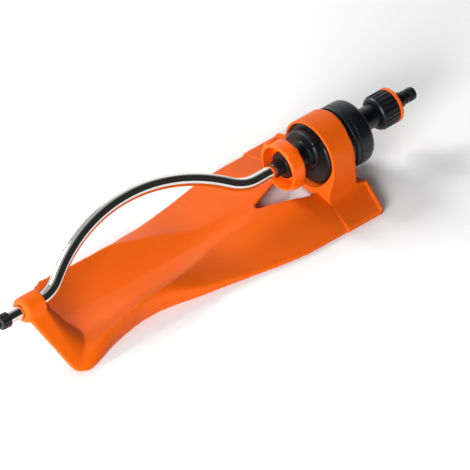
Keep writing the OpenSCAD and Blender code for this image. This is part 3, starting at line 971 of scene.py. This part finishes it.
@dataclass
class Bridge:
    """The strap that holds the motor and spreads into the two pads beside it."""

    outer: float = 34.6
    hole: float = 32.2
    pad_half: float = 76.5
    rim_height: float = 2.2

    def outline(self) -> list[tuple[float, float]]:
        """Draw the strap across the axis: round top, upright legs, and pads with a wide fillet.

        Returns:
            Corners in mm, in Y and Z.
        """
        side = [
            (self.pad_half, 0), (self.pad_half, 4.8), (self.pad_half - 1.2, 6.4), (66, 7.3), (56, 8.2),
            (46, 9.2), (41, 10.2), (38.6, 12.4), (37.6, 16), (37.2, 22), (36.8, 30), (36.0, 37),
        ]
        arc = [
            ((self.outer + 0.6) * math.sin(a), MOTOR_Z + self.outer * math.cos(a))
            for a in np.linspace(math.radians(84), 0, 28)
        ]
        right = side + arc
        return right + [(-y, z) for y, z in reversed(right[:-1])]

    @staticmethod
    def front(y: np.ndarray, z: np.ndarray) -> np.ndarray:
        """Find where the front edge stands: swept forwards down the legs and out along the pads.

        Args:
            y: Distances from the centre line.
            z: Heights.

        Returns:
            Distances from the boss's tip.
        """
        upright = np.interp(z, [0, 9, 14, 20, 28, 36, 46], [361, 361, 362, 364, 367, 369.6, 370.5])
        share = np.clip((np.abs(y) - 37) / 39, 0, 1)
        return upright * (1 - share) + 352.5 * share

    @staticmethod
    def rear(y: np.ndarray, z: np.ndarray) -> np.ndarray:
        """Find where the rear edge stands: upright on the strap and out to the sled's end on the pads.

        Args:
            y: Distances from the centre line.
            z: Heights.

        Returns:
            Distances from the boss's tip.
        """
        upright = np.interp(
            z, [0, 9, 14, 34, 66, 73, 77, 84], [400, 400, 399, 398.8, 398.4, 399.6, 400.6, 400.6]
        )
        low = smooth_step(13.5, 11.0, z) * smooth_step(30.0, 34.0, np.abs(y))
        share = np.maximum(smooth_step(38.2, 41.0, np.abs(y)), low)
        return upright * (1 - share) + (Sled.stop(y) + 0.3) * share

    def build(self) -> bpy.types.Object:
        """Build the strap, bend its two faces to the side view and round its edges.

        Returns:
            The finished bridge.
        """
        low, high = 350.0, 404.0
        bridge = prism("bridge", self.outline(), at(low), at(high), "X")
        hole = turned(
            "hole",
            [
                (low - 5, 0, 0), (low - 5, self.hole, 0),
                (high + 5, self.hole, 0), (high + 5, 0, 0),
            ],
            z=MOTOR_Z,
            sides=128,
        )
        carve(bridge, hole)
        belly = prism("belly", [(-31, -3), (31, -3), (31, 7), (-31, 7)], at(low - 5), at(high - 3), "X")
        carve(bridge, belly)
        soften(bridge, 1.0, 2)
        co = np.empty(len(bridge.data.vertices) * 3)
        bridge.data.vertices.foreach_get("co", co)
        co = co.reshape(-1, 3) / MM
        share = np.clip((co[:, 0] - at(low)) / (high - low), 0, 1)
        front, rear = self.front(co[:, 1], co[:, 2]), self.rear(co[:, 1], co[:, 2])
        co[:, 0] = at(0) + front + (rear - front) * share
        behind = at(0) + rear - co[:, 0]
        rim = smooth_step(3.6, 2.4, behind) * smooth_step(34.0, 44.0, np.abs(co[:, 1]))
        co[:, 2] += self.rim_height * rim * (co[:, 2] > 4.0) * (co[:, 2] < 12.0)
        bridge.data.vertices.foreach_set("co", (co * MM).ravel())
        relax_mesh(bridge, 6)
        return bridge


# ---------------------------------------------------------------- the swinging arm


@dataclass
class SprayArm:
    """The bent chrome tube with its plug, its jets and the spindle that turns it."""

    boss_end: float = 24.5
    last_bend: float = 301.0
    stub: float = -18.0
    socket: float = 333.0
    radius: float = 6.5
    climb: float = 36.0
    end_bend: float = 45.0
    top_bend: float = 180.0
    tilt: float = 45.0
    jets: int = 17

    def path(self, step: float = 2.0) -> np.ndarray:
        """Follow the tube's centre line from plug to spindle, at the rest tilt.

        Args:
            step: Spacing of the points in mm.

        Returns:
            Points in mm, with the tube's outward direction in columns 3 to 5.
        """
        half = (self.last_bend - self.boss_end) / 2
        a = math.radians(self.climb)
        straight = (half - (self.end_bend + self.top_bend) * math.sin(a)) / math.cos(a)
        stretches = [
            (self.boss_end - self.stub, 0.0),
            (self.end_bend * a, 1 / self.end_bend),
            (straight, 0.0),
            (2 * self.top_bend * a, -1 / self.top_bend),
            (straight, 0.0),
            (self.end_bend * a, 1 / self.end_bend),
            (self.socket - self.last_bend, 0.0),
        ]
        x, h, angle = at(self.stub), 0.0, 0.0
        line = [(x, h, angle)]
        for length, bend in stretches:
            count = max(2, int(length / step))
            part = length / count
            for _ in range(count):
                middle = angle + bend * part / 2
                x += part * math.cos(middle)
                h += part * math.sin(middle)
                angle += bend * part
                line.append((x, h, angle))
        out = np.array(line)
        lean, rise = math.sin(math.radians(self.tilt)), math.cos(math.radians(self.tilt))
        normal = np.stack([-np.sin(out[:, 2]), np.cos(out[:, 2]) * lean, np.cos(out[:, 2]) * rise], 1)
        return np.column_stack([out[:, 0], out[:, 1] * lean, AXIS_Z + out[:, 1] * rise, normal])

    def tube(self, chrome: bpy.types.Material) -> bpy.types.Object:
        """Sweep the tube along its centre line.

        Args:
            chrome: Its finish.

        Returns:
            The tube.
        """
        line = self.path()[:, :3]
        mesh = bpy.data.meshes.new("tube path")
        mesh.from_pydata([tuple(p * MM) for p in line], [(i, i + 1) for i in range(len(line) - 1)], [])
        values = {"Radius": self.radius * MM, "Sides": 48, "Material": chrome}
        piece = run_tree("tube", mesh, sweep_tree(), values)
        shade(piece, 50)
        return piece

    def jet_row(self, dark: bpy.types.Material) -> bpy.types.Object:
        """Set the row of jets along the top bend as flat dark discs, painted shade for the dark inside of
        each drilled hole.

        Args:
            dark: The dark finish painted on the discs as the shade inside the drilled holes.

        Returns:
            The jets.
        """
        line = self.path()
        middle = at((self.boss_end + self.last_bend) / 2)
        reach = self.top_bend * math.sin(math.radians(self.climb - 3))
        points, aims = [], []
        for x in np.linspace(middle - reach, middle + reach, self.jets):
            row = line[np.argmin(np.abs(line[:, 0] - x))]
            points.append((row[:3] + row[3:] * (self.radius - 0.05)) * MM)
            aims.append(row[3:])
        mesh = bpy.data.meshes.new("jet places")
        mesh.from_pydata([tuple(p) for p in points], [], [])
        aim = mesh.attributes.new("aim", "FLOAT_VECTOR", "POINT")
        aim.data.foreach_set("vector", np.array(aims, np.float32).ravel())
        # The discs, almost flush with the tube, carry the dark finish as painted shade of the drilled
        # holes.
        values = {"Radius": 0.55 * MM, "Height": 0.25 * MM, "Material": dark}
        return run_tree("jets", mesh, jet_tree(), values)

    @staticmethod
    def plug() -> bpy.types.Object:
        """Turn the plug that closes the tube's free end."""
        return turned(
            "plug",
            [
                (-23, 0, 0), (-23, 3.2, 0.2), (-25.9, 3.4, 0.4), (-25.9, 6.6, 0.8),
                (-25.2, 7.0, 0.5), (-15.2, 7.2, 0.5), (-15.2, 6.0, 0.2), (-14, 6.0, 0),
                (-14, 0, 0),
            ],
        )

    @staticmethod
    def sleeve() -> bpy.types.Object:
        """Turn the spindle's sleeve and flange inside the control ring."""
        return turned(
            "sleeve",
            [
                (323.5, 6.5, 0.0), (323.5, 7.8, 0.5), (335, 7.8, 0.8), (335, 14.0, 0.6),
                (337.6, 14.0, 0.6), (337.6, 7.0, 0.2), (372, 7.0, 0.0), (372, 6.5, 0.0),
            ],
        )


# ---------------------------------------------------------------- the motor and the inlet


@dataclass
class Motor:
    """The round motor body in the bridge, with its bearing nose, two lobes, cap and neck."""

    cap_radius: float = 33.0
    drum_radius: float = 31.7

    @staticmethod
    def hub() -> bpy.types.Object:
        """Turn the bearing nose with its steps."""
        return turned(
            "hub",
            [
                (343, 7.1, 0), (343, 15.0, 0.6), (357.5, 15.0, 0.8), (358.5, 12.6, 0.5),
                (361, 12.6, 0.5), (361.5, 14.4, 0.6), (366, 14.4, 0.8), (367, 16.4, 0.8),
                (374, 16.4, 0), (374, 7.1, 0),
            ],
        )

    def drum(self) -> bpy.types.Object:
        """Turn the drum that the bridge grips."""
        return turned(
            "drum",
            [
                (373.2, 9.5, 0), (373.2, self.drum_radius, 1.4), (403.5, self.drum_radius, 0),
                (403.5, 30.0, 0), (405, 30.0, 0), (405, 9.5, 0),
            ],
            z=MOTOR_Z,
            sides=128,
        )

    @staticmethod
    def lobe(name: str, reach: float, face: float, start: float, stop: float) -> bpy.types.Object:
        """Raise a kidney-shaped lobe on the motor's face.

        Args:
            name: The piece's name.
            reach: Its outer radius in mm.
            face: Its front, as distance from the boss's tip.
            start: First angle from +Y towards +Z, in degrees.
            stop: Last angle.

        Returns:
            The lobe.
        """
        corner = 3.0
        trim = math.degrees(corner / reach)
        outer = [(reach, a) for a in np.linspace(start + trim, stop - trim, 40)]
        end = [
            (reach - corner * (1 - math.cos(b)), stop - trim * (1 - math.sin(b)))
            for b in np.linspace(0.3, 1.5, 5)
        ]
        begin = [(r, start + stop - a) for r, a in reversed(end)]
        inner = [(11.0, a) for a in np.linspace(stop, start, 16)]
        polar = outer + end + inner + begin
        outline = [
            (r * math.cos(math.radians(a)), MOTOR_Z + r * math.sin(math.radians(a))) for r, a in polar
        ]
        piece = prism(name, outline, at(face), at(375), "X")
        round_edges(piece, 2.4, 4, 55)
        shade(piece, 45)
        return piece

    def cap(self) -> bpy.types.Object:
        """Turn the rear cap with its seam and rounded back.

        Returns:
            The cap.
        """
        r = self.cap_radius
        return turned(
            "cap",
            [
                (404.6, 31.5, 0), (404.6, r, 0.8), (409.2, r, 0.5), (409.2, r - 0.9, 0.2),
                (410.2, r - 0.9, 0.2), (410.2, r, 0.5), (428, r, 6.0), (428, 12.0, 0.5),
                (427, 8.5, 0), (425, 8.5, 0), (425, 31.5, 0),
            ],
            z=MOTOR_Z,
            sides=144,
        )

    @staticmethod
    def neck() -> bpy.types.Object:
        """Turn the neck that leads from the cap to the nut."""
        return turned(
            "neck",
            [
                (425, 9.5, 0), (425, 15.5, 0.0), (428.3, 14.2, 1.2), (430.6, 11.9, 1.5),
                (452, 11.75, 0.0), (466, 11.75, 0.0), (466, 9.5, 0.0),
            ],
        )


@dataclass
class Inlet:
    """The ribbed nut, its orange ring and the quick-connect nose."""

    nut_radius: float = 17.3

    def nut(self) -> bpy.types.Object:
        """Turn the nut's body, its front rounded over to the bore."""
        r = self.nut_radius
        return turned(
            "nut",
            [
                (453.6, 12.6, 0.4), (453.6, r - 1.6, 1.8), (455.6, r, 0.8), (474.4, r, 0.4),
                (474.4, 9.6, 0.2), (470, 9.6, 0.0), (470, 12.6, 0.0),
            ],
        )

    @staticmethod
    def trim() -> bpy.types.Object:
        """Turn the orange ring behind the nut."""
        return turned(
            "trim",
            [
                (474.5, 9.6, 0), (474.5, 18.3, 0.6), (477.9, 18.3, 1.2), (477.9, 15.4, 0.6),
                (476.6, 15.0, 0.5), (476.6, 9.6, 0.3),
            ],
        )

    @staticmethod
    def nose() -> bpy.types.Object:
        """Turn the quick-connect nose with its collar and grooves."""
        return turned(
            "nose",
            [
                (470, 4.0, 0), (470, 9.2, 0.0), (479.6, 9.2, 0.8), (480.4, 6.2, 0.6),
                (484.2, 5.8, 0.6), (484.5, 8.0, 0.9), (489.3, 8.0, 0.9), (489.6, 5.2, 0.5),
                (492.6, 5.2, 0.5), (492.8, 6.7, 0.8), (496.4, 6.7, 0.8), (496.6, 5.1, 0.4),
                (499.6, 5.1, 0.4), (499.8, 6.7, 0.8), (504.4, 6.7, 1.2), (505.9, 5.4, 0.9),
                (505.9, 4.0, 0.4),
            ],
        )


@dataclass
class ControlRing:
    """The orange ring that sets the swing: a cup open towards the tube, with four grips."""

    radius: float = 24.5
    inner: float = 21.5
    grip_turns: tuple[int, ...] = (-48, 29, 120, 207)

    def build(self) -> bpy.types.Object:
        """Turn the cup with rounded lips."""
        return turned(
            "ring",
            [
                (329.6, self.inner, 0.5), (329.6, self.radius, 0.9), (343.4, self.radius, 0.9),
                (345.4, 23.2, 0.6), (345.4, 15.1, 0.5), (343.2, 15.1, 0.4),
                (343.2, self.inner, 1.2),
            ],
        )


# ---------------------------------------------------------------- stage


@dataclass
class Studio:
    """Pale floor, soft lights and the camera."""

    distance: float = 13.4
    lens: float = 1067.8
    azimuth: float = -42.0
    elevation: float = 39.5
    roll: float = 0.5
    floor_half: float = 6.0
    dark_way: tuple[float, float, float] = (0.42, -0.72, 0.55)
    bright: float = 0.54
    dark: float = 0.03

    def floor(self) -> None:
        """Lay the plain pale floor."""
        s = self.floor_half
        mesh = bpy.data.meshes.new("floor")
        mesh.from_pydata([(-s, -s, 0), (s, -s, 0), (s, s, 0), (-s, s, 0)], [], [(0, 1, 2, 3)])
        floor = new_piece("floor", mesh)
        finish = Finish("white studio board", "FBFBFB", "F9F9F9", 0.9, 0.02, 400, 2.0, 0.02)
        mesh.materials.append(finish.build())

    def world(self) -> None:
        """Light the room evenly, with one dark part low on the front right for dark reflections."""
        world = bpy.data.worlds.new("studio")
        bpy.context.scene.world = world
        world.use_nodes = True
        tree = world.node_tree
        tree.nodes.clear()
        way = add_node(tree, "ShaderNodeTexCoord").outputs["Generated"]
        towards = add_node(
            tree, "ShaderNodeVectorMath", {0: way, 1: self.dark_way}, operation="DOT_PRODUCT"
        ).outputs["Value"]
        ramp = add_node(tree, "ShaderNodeValToRGB", {"Fac": towards})
        for stop, place, grey in zip(ramp.color_ramp.elements, (0.30, 0.62), (self.bright, self.dark)):
            stop.position = place
            stop.color = (grey, grey, grey, 1.0)
        light = add_node(tree, "ShaderNodeBackground", {"Color": ramp.outputs["Color"], "Strength": 1.0})
        add_node(tree, "ShaderNodeOutputWorld", {"Surface": light.outputs[0]})

    @staticmethod
    def lamp(name: str, place: tuple[float, float, float], size: float, power: float) -> None:
        """Hang a soft square lamp that points at the middle of the object.

        Args:
            name: The lamp's name.
            place: Where it hangs, in metres.
            size: Its side, in metres.
            power: Its power in watts.
        """
        data = bpy.data.lights.new(name, "AREA")
        data.shape = "SQUARE"
        data.size = size
        data.energy = power
        lamp = bpy.data.objects.new(name, data)
        bpy.context.scene.collection.objects.link(lamp)
        lamp.location = place
        lamp.rotation_euler = (Vector(place) * -1).to_track_quat("-Z", "Y").to_euler()

    def lights(self) -> None:
        """Hang the key lamp behind, a weak card at the back right and a fill at the left front."""
        self.lamp("key", (-0.55, 1.7, 1.25), 0.7, 34.0)
        self.lamp("back card", (1.3, 1.6, 0.7), 1.5, 4.0)
        self.lamp("front fill", (-1.7, -0.9, 0.75), 0.9, 58.0)

    def camera(self) -> None:
        """Stand the camera far off, with a long lens, aimed a little off the object's middle."""
        a, e, r = (math.radians(v) for v in (self.azimuth, self.elevation, self.roll))
        back = Vector((math.sin(a) * math.cos(e), -math.cos(a) * math.cos(e), math.sin(e)))
        right = Vector((math.cos(a), math.sin(a), 0.0))
        up = back.cross(right)
        right, up = right * math.cos(r) + up * math.sin(r), up * math.cos(r) - right * math.sin(r)
        middle = Vector((1.5, 0.0, AXIS_Z))
        aim = (middle + right * 24.5 - up * 27.7) * MM
        data = bpy.data.cameras.new("camera")
        data.lens = self.lens
        data.sensor_width = 36.0
        data.clip_end = 100.0
        camera = bpy.data.objects.new("camera", data)
        bpy.context.scene.collection.objects.link(camera)
        turn = Matrix((right, up, back)).transposed()
        camera.matrix_world = Matrix.Translation(aim + back * self.distance) @ turn.to_4x4()
        bpy.context.scene.camera = camera

    def build(self) -> None:
        """Set the whole stage."""
        self.floor()
        self.world()
        self.lights()
        self.camera()
        bpy.context.scene.view_settings.view_transform = "Standard"


# ---------------------------------------------------------------- putting it together


@dataclass
class Dresser:
    """Gives pieces their finish and body, and carried-over CAD nodes their material."""

    frame: dict
    materials: dict[str, bpy.types.Material] = field(default_factory=dict)

    def finish(self, kind: Finish) -> bpy.types.Material:
        """Return the material of a finish, which is built once.

        Args:
            kind: The finish.

        Returns:
            Its material.
        """
        if kind.name not in self.materials:
            self.materials[kind.name] = kind.build()
        return self.materials[kind.name]

    def dress(self, piece: bpy.types.Object, kind: Finish, body: str, slot: str, *nodes: str) -> None:
        """Finish a piece, ride it on its body and say which CAD nodes it stands for.

        Args:
            piece: The piece.
            kind: Its finish.
            body: The CAD body that carries it.
            slot: The record's material slot; not used.
            nodes: CAD nodes that it replaces.
        """
        self.coat(piece.data, kind)
        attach(piece, body)
        if nodes:
            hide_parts(*nodes)
        LOG.info("%s rides on %s: %d faces", piece.name, body, len(piece.data.polygons))

    def keep(self, kind: Finish, *nodes: str) -> None:
        """Give CAD nodes that stay as they are a finish.

        Args:
            kind: The finish.
            nodes: Their names.
        """
        for node in nodes:
            self.coat(self.frame["nodes"][node].data, kind)

    def coat(self, mesh: bpy.types.Mesh, kind: Finish) -> None:
        """Put one finish in every material slot of a mesh.

        Args:
            mesh: The mesh, which gets a slot if it has none.
            kind: The finish.
        """
        material = self.finish(kind)
        if len(mesh.materials) == 0:
            mesh.materials.append(material)
        for i in range(len(mesh.materials)):
            mesh.materials[i] = material


def main() -> None:
    """Build every sub-assembly in order and set the stage."""
    logging.basicConfig(level=logging.INFO, format="%(message)s")
    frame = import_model()
    dresser = Dresser(frame)
    finish = dresser.finish

    dresser.dress(Sled().build(), ORANGE_MOULDING, "base", "orange_body", "base_sled")
    dresser.dress(Bridge().build(), ORANGE_MOULDING, "base", "orange_body", "motor_bridge")

    arm = SprayArm()
    dresser.dress(arm.tube(finish(CHROME)), CHROME, "spray_arm", "polished_tube", "spray_tube")
    # The jets get the dark nitrile finish as painted shade of their drilled holes.
    dresser.dress(arm.jet_row(finish(NITRILE)), NITRILE, "spray_arm", "black_rubber")
    dresser.dress(arm.plug(), BLACK_NYLON, "spray_arm", "black_housing", "end_plug")
    flutes = ribs_round(
        "plug_flutes", RibShape.ROUND, 12, 7.0, (-20.2, AXIS_Z), (9.4, 1.9, 1.5), 0,
        finish(BLACK_NYLON), 0.2,
    )
    dresser.dress(flutes, BLACK_NYLON, "spray_arm", "black_housing")
    dresser.dress(arm.sleeve(), BLACK_NYLON, "spray_arm", "black_housing", "output_spindle")
    grips = ribs_round(
        "sleeve_grips", RibShape.ROUND, 8, 7.7, (328.8, AXIS_Z), (9.0, 1.6, 1.2), 10,
        finish(BLACK_NYLON), 0.2,
    )
    dresser.dress(grips, BLACK_NYLON, "spray_arm", "black_housing")

    ring = ControlRing()
    dresser.dress(ring.build(), ORANGE_ACETAL, "ring", "orange_trim", "control_ring")
    for i, turn in enumerate(ring.grip_turns):
        grip = ribs_round(
            f"ring_grip_{i + 1}", RibShape.BLOCK, 1, 24.7, (336.8, AXIS_Z), (13.8, 6.6, 3.6), turn,
            finish(ORANGE_ACETAL), 0.7,
        )
        dresser.dress(grip, ORANGE_ACETAL, "ring", "orange_trim")

    motor = Motor()
    dresser.dress(motor.drum(), BLACK_NYLON, "base", "black_housing", "front_housing")
    dresser.dress(motor.hub(), BLACK_NYLON, "base", "black_housing")
    lower = motor.lobe("front_lobe", 31.0, 368.5, 136, 325)
    upper = motor.lobe("rear_lobe", 27.5, 362.5, -25, 122)
    dresser.dress(lower, BLACK_NYLON, "base", "black_housing")
    dresser.dress(upper, BLACK_NYLON, "base", "black_housing")
    dresser.dress(motor.cap(), BLACK_NYLON, "base", "black_housing", "rear_cap")
    dresser.dress(motor.neck(), BLACK_NYLON, "base", "black_housing")

    inlet = Inlet()
    dresser.dress(inlet.nut(), BLACK_NYLON, "nut", "black_housing", "inlet_nut")
    nut_ribs = ribs_round(
        "nut_ribs", RibShape.ROUND, 24, 17.2, (464.8, AXIS_Z), (17.0, 2.0, 1.7), 0,
        finish(BLACK_NYLON), 0.25,
    )
    dresser.dress(nut_ribs, BLACK_NYLON, "nut", "black_housing")
    dresser.dress(inlet.trim(), ORANGE_ACETAL, "nut", "orange_trim", "nut_trim_ring")
    dresser.dress(inlet.nose(), BLACK_NYLON, "base", "black_housing", "hose_spigot")

    dresser.keep(BLACK_NYLON, "tube_end_bush", "gear_plate", "jet_plate")
    dresser.keep(NITRILE, "plug_oring", "tube_oring", "spindle_seal")
    dresser.keep(NITRILE, "housing_oring", "hose_washer", "spigot_oring")
    dresser.keep(NATURAL_ACETAL, "output_gear", "lay_gear_front", "main_gear", "lay_gear_rear")
    dresser.keep(NATURAL_ACETAL, "turbine", "inlet_filter")
    dresser.keep(DRAWN_STEEL, "bridge_screws", "cleaning_needle", "main_arbor", "lay_arbor")
    dresser.keep(ORANGE_ACETAL, "reversing_valve")

    Studio().build()


if __name__ == "__main__":
    main()
